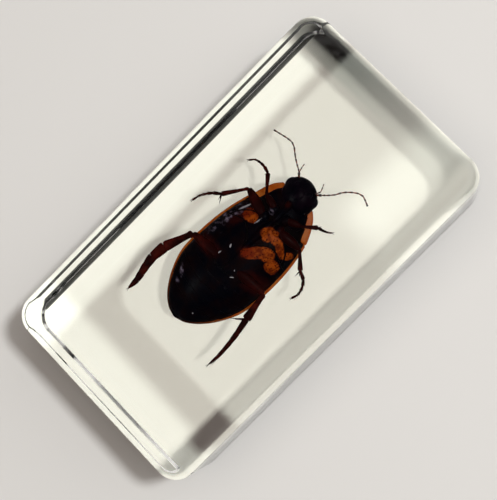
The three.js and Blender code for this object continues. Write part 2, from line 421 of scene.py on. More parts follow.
def outline_at(x):
    """The half-width of the body at x."""
    for a, b in zip(OUTLINE_RUN, OUTLINE_RUN[1:]):
        if a.x <= x <= b.x:
            return a.y + (b.y - a.y) * (x - a.x) / (b.x - a.x)
    last = OUTLINE_RUN[-1]
    return last.y if x > last.x else OUTLINE[0][1]


def rim_width(x):
    return REAR_RIM + (FRONT_RIM - REAR_RIM) * min(max((x - 5.5) / 2.5, 0), 1)


def stations(first, last, count):
    return [first + (last - first) * (k / count) for k in range(count + 1)]


def belly_ring(x, raised=0.0):
    wide = max(outline_at(x) - rim_width(x), LEAST_WIDTH)
    return (x, midline(x), RIM_Z, wide + raised * 0.3, BELLY_RISE * wide + raised)


def belly_form(raised):
    """The whole underside as one smooth form, from which the plates are cut."""
    if raised not in belly_forms:
        rings = [belly_ring(x, raised) for x in stations(*BELLY_REACH, 44)]
        belly_forms[raised] = loft("belly_form", rings, 96)
    return belly_forms[raised]


def plate(name, outline, raised, low=9.9, bevel=0.14):
    """A plate of the underside: its outline cut from the smooth form, with its rim rounded."""
    made = traced(name, outline, low, 15.5)
    add_modifier(made, "BOOLEAN", object=belly_form(raised), operation="INTERSECT", solver="EXACT")
    add_modifier(made, "BEVEL", width=bevel, segments=3, limit_method="ANGLE", angle_limit=math.radians(48))
    choose(made)
    bpy.ops.object.shade_smooth()
    add_modifier(made, "WEIGHTED_NORMAL", mode="FACE_AREA", weight=60, keep_sharp=False)
    return made


def both_sides(half):
    """A half outline, from midline to midline, with its mirror image: one closed outline."""
    there = [(x, midline(x) + out) for x, out in half]
    back = [(x, midline(x) - out) for x, out in reversed(half[1:-1])]
    return there + back


def one_side(outline, side):
    return [(x, midline(x) + side * out) for x, out in outline]


SIDES = ((1, "upper"), (-1, "lower"))   # the two sides of the beetle, towards +Y and -Y
OUTLINE_RUN = smooth_run([(x, y, 0) for x, y in OUTLINE], 80)
belly_forms = {}


# ------------ materials
class Nodes:
    """Short ways to add and link nodes in one tree."""

    def __init__(self, tree):
        self.tree = tree

    def add(self, kind, inputs=None, **settings):
        node = self.tree.nodes.new(kind)
        for name, value in settings.items():
            setattr(node, name, value)
        for name, value in (inputs or {}).items():
            self.feed(value, node.inputs[name])
        return node

    def feed(self, value, socket):
        if isinstance(value, bpy.types.NodeSocket):
            self.tree.links.new(value, socket)
        else:
            socket.default_value = value

    def math(self, operation, a, b=0.0, clamp=False):
        node = self.add("ShaderNodeMath", operation=operation, use_clamp=clamp)
        self.feed(a, node.inputs[0])
        self.feed(b, node.inputs[1])
        return node.outputs[0]

    def mix(self, factor, a, b, blend="MIX"):
        node = self.add("ShaderNodeMix", data_type="RGBA", blend_type=blend)
        self.feed(factor, node.inputs[0])
        self.feed(a, node.inputs[6])
        self.feed(b, node.inputs[7])
        return node.outputs[2]

    def span(self, value, low, high, to_low=0.0, to_high=1.0):
        node = self.add("ShaderNodeMapRange", interpolation_type="SMOOTHSTEP")
        for socket, given in zip(node.inputs, (value, low, high, to_low, to_high)):
            self.feed(given, socket)
        return node.outputs[0]

    def noise(self, where, scale, detail=3.0, rough=0.55):
        given = {"Vector": where, "Scale": scale, "Detail": detail, "Roughness": rough}
        return self.add("ShaderNodeTexNoise", given).outputs["Fac"]

    def split(self, where):
        """The three outputs X, Y and Z of a place or direction."""
        return self.add("ShaderNodeSeparateXYZ", {0: where}).outputs


def new_material(name):
    material = bpy.data.materials.new(name)
    material.use_nodes = True
    tree = material.node_tree
    return material, Nodes(tree), tree.nodes["Principled BSDF"]


def new_group(name, inputs, outputs):
    tree = bpy.data.node_groups.new(name, "ShaderNodeTree")
    for title, kind in inputs:
        tree.interface.new_socket(title, in_out="INPUT", socket_type=kind)
    for title, kind in outputs:
        tree.interface.new_socket(title, in_out="OUTPUT", socket_type=kind)
    nodes = Nodes(tree)
    return tree, nodes, nodes.add("NodeGroupInput"), nodes.add("NodeGroupOutput")


PATCH_POWER = 2.8      # 2 makes a patch round, more makes it squarer
PIT_DEPTH = 0.06 * MM


def patch_group():
    """A ragged round patch round a centre, stretched and turned: 1 inside and 0 outside."""
    tree, nodes, given, out = new_group(
        "ragged patch",
        [("Where", "NodeSocketVector"), ("Centre", "NodeSocketVector"), ("Half size", "NodeSocketVector"),
         ("Turn", "NodeSocketVector"), ("Ragged", "NodeSocketFloat"), ("Soft", "NodeSocketFloat")],
        [("Mask", "NodeSocketFloat")],
    )
    placed = nodes.add("ShaderNodeMapping", vector_type="TEXTURE")
    for socket, source in (("Vector", "Where"), ("Location", "Centre"), ("Rotation", "Turn"),
                           ("Scale", "Half size")):
        nodes.feed(given.outputs[source], placed.inputs[socket])
    parts = nodes.split(placed.outputs[0])
    squared = [nodes.math("POWER", nodes.math("ABSOLUTE", parts[axis]), PATCH_POWER) for axis in "XY"]
    far = nodes.math("POWER", nodes.math("ADD", *squared), 1 / PATCH_POWER)
    grain = nodes.noise(given.outputs["Where"], 1400.0, 3.0, 0.6)
    ragged = nodes.math("MULTIPLY", nodes.math("SUBTRACT", grain, 0.5), given.outputs["Ragged"])
    edge = nodes.math("ADD", far, ragged)
    inner = nodes.math("SUBTRACT", 1.0, given.outputs["Soft"])
    outer = nodes.math("ADD", 1.0, given.outputs["Soft"])
    nodes.feed(nodes.span(edge, inner, outer, 1.0, 0.0), out.inputs["Mask"])
    return tree


def cuticle_group():
    """The fine surface of the beetle's shell: a bump normal, and a mask of cloudy lighter places."""
    tree, nodes, given, out = new_group(
        "shell surface",
        [("Where", "NodeSocketVector"), ("Pits", "NodeSocketFloat"), ("Strength", "NodeSocketFloat")],
        [("Normal", "NodeSocketVector"), ("Cloud", "NodeSocketFloat"), ("Pit", "NodeSocketFloat")],
    )
    where = given.outputs["Where"]
    cells = nodes.add("ShaderNodeTexVoronoi", {"Vector": where, "Scale": given.outputs["Pits"]})
    pit = nodes.span(cells.outputs["Distance"], 0.08, 0.3, 0.0, 1.0)
    grain = nodes.noise(where, 6000.0, 2.0)
    height = nodes.math("ADD", nodes.math("MULTIPLY", pit, 0.7), nodes.math("MULTIPLY", grain, 0.3))
    bump = nodes.add("ShaderNodeBump", {"Height": height, "Strength": given.outputs["Strength"],
                                        "Distance": PIT_DEPTH})
    nodes.feed(bump.outputs[0], out.inputs["Normal"])
    nodes.feed(nodes.noise(where, 420.0, 4.0, 0.6), out.inputs["Cloud"])
    nodes.feed(pit, out.inputs["Pit"])
    return tree


def object_place(nodes):
    return nodes.add("ShaderNodeTexCoord").outputs["Object"]


def group_node(nodes, tree, **inputs):
    node = nodes.add("ShaderNodeGroup", node_tree=tree)
    for name, value in inputs.items():
        nodes.feed(value, node.inputs[name.replace("_", " ")])
    return node


def shell_material(name, dark, light, roughness, pits, strength, level):
    """A two-tone shell colour in soft clouds, with a finely pitted surface: `pits` is how many there are to
    the metre, `strength` how deep they look, and `level` how strong the shine is."""
    material, nodes, shader = new_material(name)
    surface = group_node(nodes, CUTICLE, Where=object_place(nodes), Pits=pits, Strength=strength)
    tone = nodes.span(surface.outputs["Cloud"], 0.38, 0.68)
    colour = nodes.mix(tone, (*dark, 1), (*light, 1))
    nodes.feed(colour, shader.inputs["Base Color"])
    nodes.feed(nodes.span(surface.outputs["Cloud"], 0.3, 0.7, roughness * 0.8, roughness * 1.25),
               shader.inputs["Roughness"])
    nodes.feed(surface.outputs["Normal"], shader.inputs["Normal"])
    shader.inputs["Specular IOR Level"].default_value = level
    return material, nodes, shader, colour


# Colours of the shell, ending with the painted sheen and the painted glints of films of air under it.
BLACK = (0.0006, 0.0006, 0.0022)
DARK_RED = (0.0035, 0.0006, 0.001)
LEG_DARK = (0.008, 0.0012, 0.001)
LEG_RED = (0.06, 0.006, 0.004)
LEG_ON_BODY = (0.01, 0.0008, 0.0008)
AMBER = (0.3, 0.055, 0.005)
AMBER_PALE = (0.36, 0.1, 0.016)
AMBER_DEEP = (0.1, 0.012, 0.0015)
AMBER_REAR = (0.05, 0.012, 0.005)
RED_ON_BLACK = (0.022, 0.0022, 0.0015)
RED_ON_AMBER = (0.11, 0.006, 0.002)
SPECK = (0.03, 0.0025, 0.001)
# painted sheen: the pale lilac that films of air under the shell reflect
PAINTED_SHEEN_LILAC = (0.2, 0.16, 0.22)
# painted glint: the silvery light that films of air under the shell mirror
PAINTED_GLINT_GREY = (0.34, 0.33, 0.36)

# Patches of the underside: centre, half sizes and turn, in millimetres and degrees.
PATCH_HEIGHT = 12.5
AMBER_PATCHES = [
    ((4.5, 3.6), (1.1, 1.35), 10),
    ((4.35, -0.95), (1.2, 1.2), -28),
    ((4.75, -2.2), (1.15, 0.95), 60),
    ((4.2, -3.6), (2.0, 0.66), 54),
    ((0.75, -1.75), (2.6, 1.0), -43),
    ((1.75, -3.35), (1.15, 0.9), -20),
    ((0.8, -5.1), (1.15, 1.1), 0),
    ((3.9, -5.65), (0.95, 0.6), -35),
]
RED_PATCHES = [
    ((10.2, 0.4), (0.5, 0.45), 0),
    ((-0.4, -0.5), (1.3, 1.0), -42),
    ((3.0, 4.9), (2.2, 0.9), -20),
    ((6.6, -2.8), (0.7, 1.1), 20),
    ((-3.2, -5.4), (1.6, 2.4), 10),
    ((-4.2, 5.8), (1.3, 2.6), 0),
]
# Painted glints: places where a film of air under the shell mirrors the light, painted into its colour.
PAINTED_GLINT_PATCHES = [
    ((5.1, 5.4), (1.1, 0.13), -22),
    ((8.4, 3.8), (0.1, 0.5), 4),
    ((4.8, 1.95), (0.6, 0.1), -12),
    ((-3.7, 2.9), (0.38, 0.09), -14),
    ((-1.5, 2.3), (0.3, 0.1), 28),
    ((-5.2, -1.6), (0.3, 0.07), -50),
    ((-4.0, -1.2), (0.14, 0.08), 35),
    ((-14.4, -1.0), (0.1, 0.07), 0),
    ((11.6, -0.2), (0.2, 0.1), 40),
]
# Painted sheen: streaks where a film of air along the flanks reflects a pale lilac light.
PAINTED_SHEEN_PATCHES = [
    ((1.6, 6.5), (3.3, 0.8), -9),
    ((-11.0, 5.4), (1.5, 0.4), 22),
    ((7.6, 1.6), (0.6, 0.4), 40),
]


def patches(nodes, where, wanted, ragged, soft):
    """The highest of several patch masks."""
    whole = None
    for (x, y), (long, wide), turn in wanted:
        node = group_node(
            nodes, PATCH, Where=where, Centre=(x * MM, y * MM, PATCH_HEIGHT * MM),
            Half_size=(long * MM, wide * MM, 1.0), Turn=(0, 0, math.radians(turn)), Ragged=ragged, Soft=soft,
        )
        whole = node.outputs[0] if whole is None else nodes.math("MAXIMUM", whole, node.outputs[0])
    return whole


def underside_material():
    """Near-black shell with amber patches speckled in red, and the lilac sheen and silvery glints of thin
    films of air painted into its colour.
    """
    material, nodes, shader, colour = shell_material(
        "black shell of the underside", BLACK, DARK_RED, 0.36, 2600.0, 0.35, 0.012
    )
    where = object_place(nodes)
    red = patches(nodes, where, RED_PATCHES, 0.9, 0.5)
    colour = nodes.mix(nodes.math("MULTIPLY", red, 0.75), colour, (*RED_ON_BLACK, 1))
    # painted sheen of a film of air, in pale lilac streaks
    lilac = patches(nodes, where, PAINTED_SHEEN_PATCHES, 1.2, 0.6)
    turned = {"Vector": where, "Rotation": (0, 0, 0.9), "Scale": (1, 0.3, 1)}
    stretched = nodes.add("ShaderNodeMapping", turned)
    streak = nodes.span(nodes.noise(stretched.outputs[0], 1100.0, 3.0), 0.46, 0.72)
    colour = nodes.mix(nodes.math("MULTIPLY", lilac, streak), colour, (*PAINTED_SHEEN_LILAC, 1))
    amber = patches(nodes, where, AMBER_PATCHES, 0.42, 0.14)
    speck = nodes.add("ShaderNodeTexVoronoi", {"Vector": where, "Scale": 2300.0})
    clear = nodes.span(speck.outputs["Distance"], 0.16, 0.4)
    depth = nodes.span(nodes.noise(where, 1000.0, 4.0, 0.65), 0.36, 0.64)
    tone = nodes.mix(depth, (*AMBER_DEEP, 1), (*AMBER, 1))
    tone = nodes.mix(nodes.math("MULTIPLY", red, 0.7), tone, (*RED_ON_AMBER, 1))
    tone = nodes.mix(clear, (*SPECK, 1), tone)
    colour = nodes.mix(amber, colour, tone)
    # painted glints where films of air under the shell mirror the light
    glint_mask = patches(nodes, where, PAINTED_GLINT_PATCHES, 2.0, 0.4)
    nodes.feed(nodes.mix(glint_mask, colour, (*PAINTED_GLINT_GREY, 1)), shader.inputs["Base Color"])
    return material


def rim_material():
    """Amber edge of the wing cases and the neck shield, deeper towards the tail."""
    material, nodes, shader = new_material("amber rim")
    where = object_place(nodes)
    surface = group_node(nodes, CUTICLE, Where=where, Pits=2400.0, Strength=0.3)
    tail = nodes.span(nodes.split(where)["X"], -16.3 * MM, -8.0 * MM)
    cloud = nodes.span(surface.outputs["Cloud"], 0.36, 0.66)
    colour = nodes.mix(cloud, (*AMBER, 1), (*AMBER_PALE, 1))
    colour = nodes.mix(nodes.span(surface.outputs["Pit"], 0.0, 0.5, 0.4, 0.0), colour, (*AMBER_DEEP, 1))
    colour = nodes.mix(tail, (*AMBER_REAR, 1), colour)
    nodes.feed(colour, shader.inputs["Base Color"])
    nodes.feed(nodes.span(surface.outputs["Cloud"], 0.3, 0.7, 0.26, 0.4), shader.inputs["Roughness"])
    nodes.feed(surface.outputs["Normal"], shader.inputs["Normal"])
    shader.inputs["Specular IOR Level"].default_value = 0.05
    return material


def leg_material():
    """Dark red-brown shell, near-black where the legs lie on the body and redder outside it."""
    material, nodes, shader, colour = shell_material("leg shell", LEG_DARK, LEG_RED, 0.42, 5200.0, 0.5, 0.015)
    across = nodes.split(object_place(nodes))["Y"]
    outside = nodes.span(nodes.math("ABSOLUTE", across), 3.5 * MM, 8.0 * MM)
    nodes.feed(nodes.mix(outside, (*LEG_ON_BODY, 1), colour), shader.inputs["Base Color"])
    return material


def resin_material():
    material, _, shader = new_material("clear resin")
    shader.inputs["Base Color"].default_value = (1, 1, 1, 1)
    shader.inputs["Roughness"].default_value = 0.0
    shader.inputs["IOR"].default_value = RESIN_IOR
    shader.inputs["Transmission Weight"].default_value = 1.0
    return material


def table_material():
    material, _, shader = new_material("pale table")
    shader.inputs["Base Color"].default_value = (0.68, 0.665, 0.645, 1)
    shader.inputs["Roughness"].default_value = 0.6
    return material


# The paper under the block, with its painted fill light, the painted shade of one corner and the painted
# shadow under the rear wall, and where these change, measured from the block's far corner.
PAPER_WHITE, PAINTED_WALL_SHADOW = (0.93, 0.945, 0.85, 1), (0.05, 0.05, 0.045, 1)
PAINTED_FILL_LIGHT, CORNER_PAINTED_SHADE, NO_GLOW = (0.135, 0.113, 0.1, 1), (0.006, 0.005, 0.005, 1), (0, 0, 0, 1)
WALL_SHADOW_FROM, WALL_SHADOW_TO = 0.95 * MM, 0.75 * MM
CORNER_FROM, CORNER_TO = 5.4 * MM, 4.2 * MM
CORNER_START_Y, CORNER_REAR = -6 * MM, 6.5 * MM


def paper_material():
    """Bright paper that gives off a faint light of its own, which is painted fill light; it gives off less in
    one corner, which is painted shade, and a dark band under the rear wall is a painted shadow.
    """
    material, nodes, shader = new_material("bright paper")
    place = nodes.split(object_place(nodes))
    right, rear = BLOCK_HIGH.x, BLOCK_HIGH.y
    # painted shadow: the paper turns dark in a band under the rear wall
    wall_shadow = nodes.span(place["Y"], rear - WALL_SHADOW_FROM, rear - WALL_SHADOW_TO)
    # painted shade: the paper gives off less light towards the right rear corner
    corner = nodes.math("MULTIPLY", nodes.span(place["X"], right - CORNER_FROM, right - CORNER_TO),
                        nodes.span(place["Y"], CORNER_START_Y, rear - CORNER_REAR))
    painted_fill = nodes.mix(corner, PAINTED_FILL_LIGHT, CORNER_PAINTED_SHADE)
    nodes.feed(nodes.mix(wall_shadow, PAPER_WHITE, PAINTED_WALL_SHADOW), shader.inputs["Base Color"])
    # the paper's emission is painted fill light, not a lamp
    nodes.feed(nodes.mix(wall_shadow, painted_fill, NO_GLOW), shader.inputs["Emission Color"])
    shader.inputs["Emission Strength"].default_value = 1.0
    shader.inputs["Roughness"].default_value = 0.8
    return material


TABLE = table_material()
PATCH = patch_group()
CUTICLE = cuticle_group()
UNDERSIDE = underside_material()
RIM = rim_material()
LEG = leg_material()
BACK, SEAM, FOOT, HEAD, EYE, FEELER, FEELER_TIP, HAIR = (
    shell_material(*look)[0] for look in (
        ("dark green-brown back", (0.008, 0.008, 0.004), (0.03, 0.018, 0.006), 0.24, 2200.0, 0.25, 0.35),
        ("black seam", (0.001, 0.0007, 0.001), (0.003, 0.0007, 0.0007), 0.5, 3000.0, 0.3, 0.02),
        ("near-black foot", (0.007, 0.0008, 0.0008), (0.045, 0.004, 0.002), 0.4, 5200.0, 0.5, 0.02),
        ("black head", (0.0006, 0.0005, 0.002), (0.003, 0.0007, 0.003), 0.32, 2400.0, 0.4, 0.02),
        ("eye", (0.001, 0.001, 0.0025), (0.005, 0.002, 0.006), 0.28, 7000.0, 0.8, 0.04),
        ("amber feeler", (0.07, 0.01, 0.004), (0.24, 0.045, 0.012), 0.35, 6000.0, 0.4, 0.12),
        ("dark feeler tip", (0.008, 0.004, 0.003), (0.03, 0.01, 0.006), 0.35, 6000.0, 0.4, 0.3),
        ("swimming hair", (0.05, 0.018, 0.006), (0.16, 0.07, 0.02), 0.45, 6000.0, 0.1, 0.2),
    )
)


# ------------ finishing a piece of the beetle
BEETLE_PIECES = []


def dress(piece, *materials):
    piece.data.materials.clear()
    for material in materials:
        piece.data.materials.append(material)


def beetle_piece(piece, *materials):
    """Gives the piece its materials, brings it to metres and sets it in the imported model."""
    if materials:
        dress(piece, *materials)
    piece.scale = (MM, MM, MM)
    settle(piece)
    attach(piece, "root")
    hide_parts("beetle")
    BEETLE_PIECES.append(piece)


# ------------ the beetle's body
def shell_rings(first, last, count, round_first, round_last):
    """Rings of the back from first to last, drawn in over the last step at a rounded end."""
    rings = []
    for x in stations(first, last, count):
        wide = max(outline_at(x), LEAST_WIDTH)
        rings.append((x, midline(x), RIM_Z, wide, BACK_DEPTH * wide))
    for end, rounded in ((0, round_first), (-1, round_last)):
        if rounded:
            x, _, z, wide, deep = rings[end]
            x += rounded if end else -rounded
            lip = (x, midline(x), z, wide - rounded, deep - rounded)
            rings.insert(0 if end == 0 else len(rings), lip)
    return rings


def flatten_rim(shell):
    """Presses the half of a back shell that lies above the rim down to a low crown."""
    pick_points(shell, lambda p: p.z > RIM_Z + 1e-4)
    bpy.ops.transform.resize(value=(1, 1, RIM_RISE / BACK_DEPTH), center_override=(0, 0, RIM_Z))
    to_mode("OBJECT")


def colour_rim(shell, seen, width):
    """The second material goes to the band along the shell's outer edge, which is `seen` wide on the side of
    the belly and `width` wide on the back; the third darkens the rest of the belly's side."""
    for face in shell.data.polygons:
        x, y, z = face.center
        inwards = outline_at(x) - abs(y - midline(x))
        if z > RIM_Z:
            face.material_index = 1 if inwards < seen else 2
        else:
            face.material_index = 1 if inwards < width else 0


def wing_cases():
    shell = loft("wing_cases", shell_rings(-17.35, 7.0, 60, 0, 0.25), 96)
    pick_edges(shell, lambda a, b: max(a.z, b.z) < RIM_Z and on_midline(a) and on_midline(b))
    bpy.ops.mesh.bevel(offset=0.14, segments=2, affect="EDGES")
    pick_points(shell, lambda p: p.z < RIM_Z and on_midline(p))
    bpy.ops.transform.translate(value=(0, 0, 0.12))
    flatten_rim(shell)
    dress(shell, BACK, RIM, SEAM)
    colour_rim(shell, 0.4, 1.1)
    bpy.ops.object.shade_smooth()
    beetle_piece(shell)


def neck_shield():
    shell = loft("neck_shield", shell_rings(7.45, 12.0, 18, 0.25, 0.3), 96)
    flatten_rim(shell)
    dress(shell, BACK, RIM, SEAM)
    colour_rim(shell, 1.3, 1.6)
    bpy.ops.object.shade_smooth()
    beetle_piece(shell)


def belly_core():
    """The dark membrane that shows in the seams between the plates."""
    core = loft("seam_membrane", [belly_ring(x, -0.2) for x in stations(*MEMBRANE_REACH, 40)], 72)
    bpy.ops.object.shade_smooth()
    beetle_piece(core, SEAM)


def belly_rings():
    """The five rings of the belly, each a plate from flank to flank."""
    made = [plate("belly_ring_1", both_sides(FIRST_BELLY_HALF), 0.0)]
    for i, (front, rear) in enumerate(zip(BELLY_JOINTS, BELLY_JOINTS[1:])):
        outs = (0, 1.5, 3.0, 4.5, 6.0, 8.5)
        front_edge = [(front + JOINT_CURVE * out**2, out) for out in outs]
        rear_edge = [(rear + JOINT_GAP + JOINT_CURVE * out**2, out) for out in reversed(outs)]
        half = front_edge + rear_edge
        made.append(plate("belly_ring_%d" % (i + 2), both_sides(half), 0.02 * (i % 2)))
    for ring in made:
        beetle_piece(ring, UNDERSIDE)


def breast():
    """Breast plate with its middle ridge, the flank plates and the two great hind hip plates."""
    base = plate("breast_plate", both_sides(BREAST_HALF), 0.12)
    ridge = loft("breast_ridge", [
        (x, midline(x), 12.35, wide, high)
        for x, wide, high in ((-3.2, 0.12, 1.1), (-2.4, 0.35, 1.45), (-0.8, 0.62, 1.62), (1.5, 0.95, 1.72),
                              (3.6, 1.15, 1.78), (5.2, 1.0, 1.75), (6.2, 0.62, 1.6), (6.6, 0.3, 1.35))
    ], 40)
    add_modifier(ridge, "SUBSURF", levels=1, render_levels=1)
    bpy.ops.object.shade_smooth()
    made = [joined([base, ridge], "breast_plate")]
    for side, word in SIDES:
        made.append(plate("flank_plate_" + word, one_side(FLANK_SIDE, side), 0.05))
        made.append(plate("hind_hip_plate_" + word, one_side(HIND_COXA_SIDE, side), 0.28, bevel=0.2))
    for piece in made:
        beetle_piece(piece, UNDERSIDE)


def throat():
    """Throat plate, with the narrow spear that runs back between the front hips."""
    base = plate("throat_plate", both_sides(THROAT_HALF), 0.1)
    spear = loft("throat_spear", [
        (x, midline(x), z, wide, high)
        for x, z, wide, high in ((5.6, 13.4, 0.08, 0.12), (6.2, 13.35, 0.38, 0.5), (7.0, 13.2, 0.62, 0.72),
                                 (8.0, 12.9, 0.5, 0.9), (9.2, 12.3, 0.55, 1.1), (10.4, 11.6, 0.85, 1.2),
                                 (11.4, 11.0, 1.2, 1.0), (11.9, 10.7, 1.3, 0.7))
    ], 32)
    add_modifier(spear, "SUBSURF", levels=1, render_levels=1)
    bpy.ops.object.shade_smooth()
    beetle_piece(joined([base, spear], "throat_plate"), UNDERSIDE)


def hips():
    """Round hips of the front and middle legs, and the small joints at the root of the hind thighs."""
    for side, word in SIDES:
        for x, out, z, axes, name in (
            (8.0, 1.35, 12.6, (1.1, 0.95, 0.95), "front_hip_"),
            (5.9, 1.75, 12.95, (1.15, 1.05, 0.85), "middle_hip_"),
            (-4.0, 1.35, 13.25, (1.0, 0.75, 0.5), "hind_hip_joint_"),
        ):
            ball = pebble(name + word, (x, midline(x) + side * out, z), axes)
            beetle_piece(ball, LEG if "hind" in name else UNDERSIDE)


def head_line(x):
    return midline(x) + HEAD_SHIFT


def head():
    """Head capsule with its mouth parts, and the two eyes."""
    rings = [(9.8, 2.3, 1.5), (10.6, 2.9, 2.0), (11.4, 3.15, 2.3), (12.2, 3.3, 2.45), (13.0, 3.3, 2.4),
             (13.7, 3.1, 2.2), (14.3, 2.77, 1.95), (14.8, 2.32, 1.65), (15.2, 1.8, 1.3), (15.5, 1.15, 0.85),
             (15.67, 0.35, 0.3)]
    capsule = loft("head_capsule", [(x, head_line(x), 10.2, wide, high) for x, wide, high in rings], 48)
    add_modifier(capsule, "SUBSURF", levels=1, render_levels=1)
    bpy.ops.object.shade_smooth()
    chin = pebble("chin", (12.6, head_line(12.6), 12.3), (1.2, 1.0, 0.42))
    lip = pebble("lip", (14.75, head_line(14.7), 10.9), (0.75, 1.25, 0.55))
    jaws = []
    for side in (1, -1):
        root = (14.0, head_line(14) + side * 1.7, 11.35)
        point = (15.3, head_line(15.3) + side * 0.35, 11.1)
        jaws.append(laid(SPIKE_FORM, "jaw", root, point, 0.42, 0.7))
        jaws.append(pebble("cheek", (13.6, head_line(13.6) + side * 1.45, 11.85), (0.8, 0.5, 0.35)))
    beetle_piece(joined([capsule, chin, lip, *jaws], "head"), HEAD)
    for side, word in SIDES:
        eye = pebble("eye_" + word, (13.15, head_line(13.2) + side * 2.5, 10.4), (1.2, 0.93, 1.0), 24)
        beetle_piece(eye, EYE)


# ------------ limbs
def chain(form, name, run, shares, thickness, flat=1.0, last_form=None):
    """Joints of a foot, feeler or palp, laid one after the other along a run."""
    forms = [form] * (len(shares) - 1) + [last_form or form]
    fine = smooth_run(run, 60)
    made, done = [], 0.0
    for i, share in enumerate(shares):
        start, end = at_share(fine, done), at_share(fine, min(done + share, 1.0))
        made.append(laid(forms[i], name, start, end, thickness(i), flat))
        done += share
    return made


def claws(run, size):
    """Two small hooked claws at the end of a foot."""
    tip, before = Vector(run[-1]), Vector(run[-2])
    along = (tip - before).normalized()
    side = along.cross(Vector((0, 0, 1))).normalized()
    made = []
    for lean in (-0.45, 0.45):
        bend = tip + (along + side * lean) * size * 0.55
        end = bend + (along * 0.7 + side * lean * 0.4 - Vector((0, 0, 0.55))) * size * 0.5
        made.append(laid(SPIKE_FORM, "claw", tip - along * 0.05, bend, CLAW_THICK))
        made.append(laid(SPIKE_FORM, "claw", bend - (bend - tip) * 0.25, end, CLAW_TIP_THICK))
    return made


def leg(name, plan):
    thigh, shin, foot = plan["thick"]
    swims = "hind" in name
    if swims:
        joint, last, narrowing, flat, spur = FIN_FORM, FIN_TIP_FORM, 0.87, 0.62, SWIMMING_SPUR_THICK
    else:
        joint, last, narrowing, flat, spur = FOOT_FORM, FOOT_FORM, 0.88, 0.72, SPUR_THICK
    parts = [
        laid(THIGH_FORM, name, plan["hip"], plan["knee"], thigh, flat),
        laid(SHIN_FORM, name, plan["knee"], plan["ankle"], shin, flat),
        *chain(joint, name, plan["foot"], FOOT_SHARES, lambda i: foot * narrowing**i, flat, last),
        *claws(plan["foot"], CLAW_SIZE),
        *(laid(SPIKE_FORM, name, plan["ankle"], tip, spur) for tip in plan["spurs"]),
    ]
    beetle_piece(joined(parts, name))
    if plan["hairs"]:
        beetle_piece(joined(fringe(plan), name.replace("leg", "leg_fringe")), HAIR)


def fringe(plan):
    """Swimming hairs, laid backwards along one edge of the shin and the foot."""
    run = smooth_run([Vector(plan["knee"]).lerp(Vector(plan["ankle"]), 0.35), *plan["foot"]], 80)
    made = []
    for k in range(plan["hairs"]):
        share = (k + chance.random() * 0.8) / plan["hairs"] * 0.94
        root, ahead = at_share(run, share), at_share(run, min(share + 0.02, 1.0))
        along = (ahead - root).normalized()
        side = along.cross(Vector((0, 0, 1))).normalized() * (1 if plan["hip"][1] > 0 else -1)
        long = 0.75 + 0.3 * chance.random()
        tip = root + along * long * 0.95 + side * long * (0.3 + 0.15 * chance.random())
        tip.z += 0.25 * (chance.random() - 0.5)
        made.append(laid(HAIR_FORM, "hair", root, tip, HAIR_THICK))
    return made


def feelers():
    for name, run in FEELERS.items():
        parts = chain(FEELER_FORM, name, run, FEELER_SHARES, lambda i: (0.24, 0.17)[i] if i < 2 else 0.165)
        beetle_piece(joined(parts, name))
    for name, run in PALPS.items():
        parts = chain(FEELER_FORM, name, run, PALP_SHARES, lambda i: 0.16 - 0.02 * i)
        beetle_piece(joined(parts, name))


FORMS = [spindle(*form) for form in (
    ("thigh_form", THIGH, 20),
    ("shin_form", SHIN, 16),
    ("foot_joint_form", FOOT_JOINT, 12),
    ("swimming_foot_joint_form", FIN_JOINT, 16),
    ("swimming_foot_tip_form", FIN_TIP, 16),
    ("feeler_joint_form", FEELER_JOINT, 12),
    ("spike_form", SPIKE, 10),
    ("hair_form", HAIR_SHAPE, 4),
)]
THIGH_FORM, SHIN_FORM, FOOT_FORM, FIN_FORM, FIN_TIP_FORM, FEELER_FORM, SPIKE_FORM, HAIR_FORM = FORMS


def colour_tips(form):
    dress(form, FEELER, FEELER_TIP)
    for face in form.data.polygons:
        face.material_index = 1 if face.center.z > DARK_FROM else 0


def beetle():
    colour_tips(FEELER_FORM)
    for form in (THIGH_FORM, SHIN_FORM):
        dress(form, LEG)
    for form in (FOOT_FORM, FIN_FORM, FIN_TIP_FORM):
        dress(form, FOOT)
    wing_cases()
    neck_shield()
    belly_core()
    belly_rings()
    breast()
    throat()
    hips()
    head()
    dress(SPIKE_FORM, FOOT)   # for the claws and spurs to come; the jaws have the head's black
    for name, plan in LEGS.items():
        leg(name, plan)
    feelers()
    discard(*FORMS, *belly_forms.values())


# ------------ the resin block
def round_cornered_box(name, low, high, segments):
    """A box from low to high with its four upright edges rounded, left in edit mode."""
    deselect()
    bpy.ops.mesh.primitive_cube_add(size=1, location=(low + high) / 2)
    box = called(name)
    box.scale = high - low
    settle(box)
    pick_edges(box, lambda a, b: abs(a.z - b.z) > (high.z - low.z) / 2)
    bpy.ops.mesh.bevel(offset=CORNER_RADIUS, segments=segments, affect="EDGES")
    return box


def resin_block():
    low = BLOCK_LOW + Vector((0, 0, AIR_GAP))
    block = round_cornered_box("resin_block", low, BLOCK_HIGH, 20)
    for height, radius, segments in ((BLOCK_HIGH.z, EDGE_RADIUS, 16), (low.z, FOOT_RADIUS, 12)):
        pick_edges(block, lambda a, b: max(abs(a.z - height), abs(b.z - height)) < SAME_HEIGHT)
        bpy.ops.mesh.bevel(offset=radius, segments=segments, affect="EDGES")
    to_mode("OBJECT")
    bpy.ops.object.shade_smooth()
    add_modifier(block, "WEIGHTED_NORMAL", mode="FACE_AREA", weight=100, keep_sharp=False)
    block.data.materials.append(resin_material())
    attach(block, "root")
    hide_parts("resin_lower", "resin_upper")
    block.visible_shadow = False


# ------------ the stage
def floor():
    deselect()
    bpy.ops.mesh.primitive_plane_add(size=TABLE_SIZE, location=(0, 0, 0))
    table = called("table")
    table.data.materials.append(TABLE)
    return table


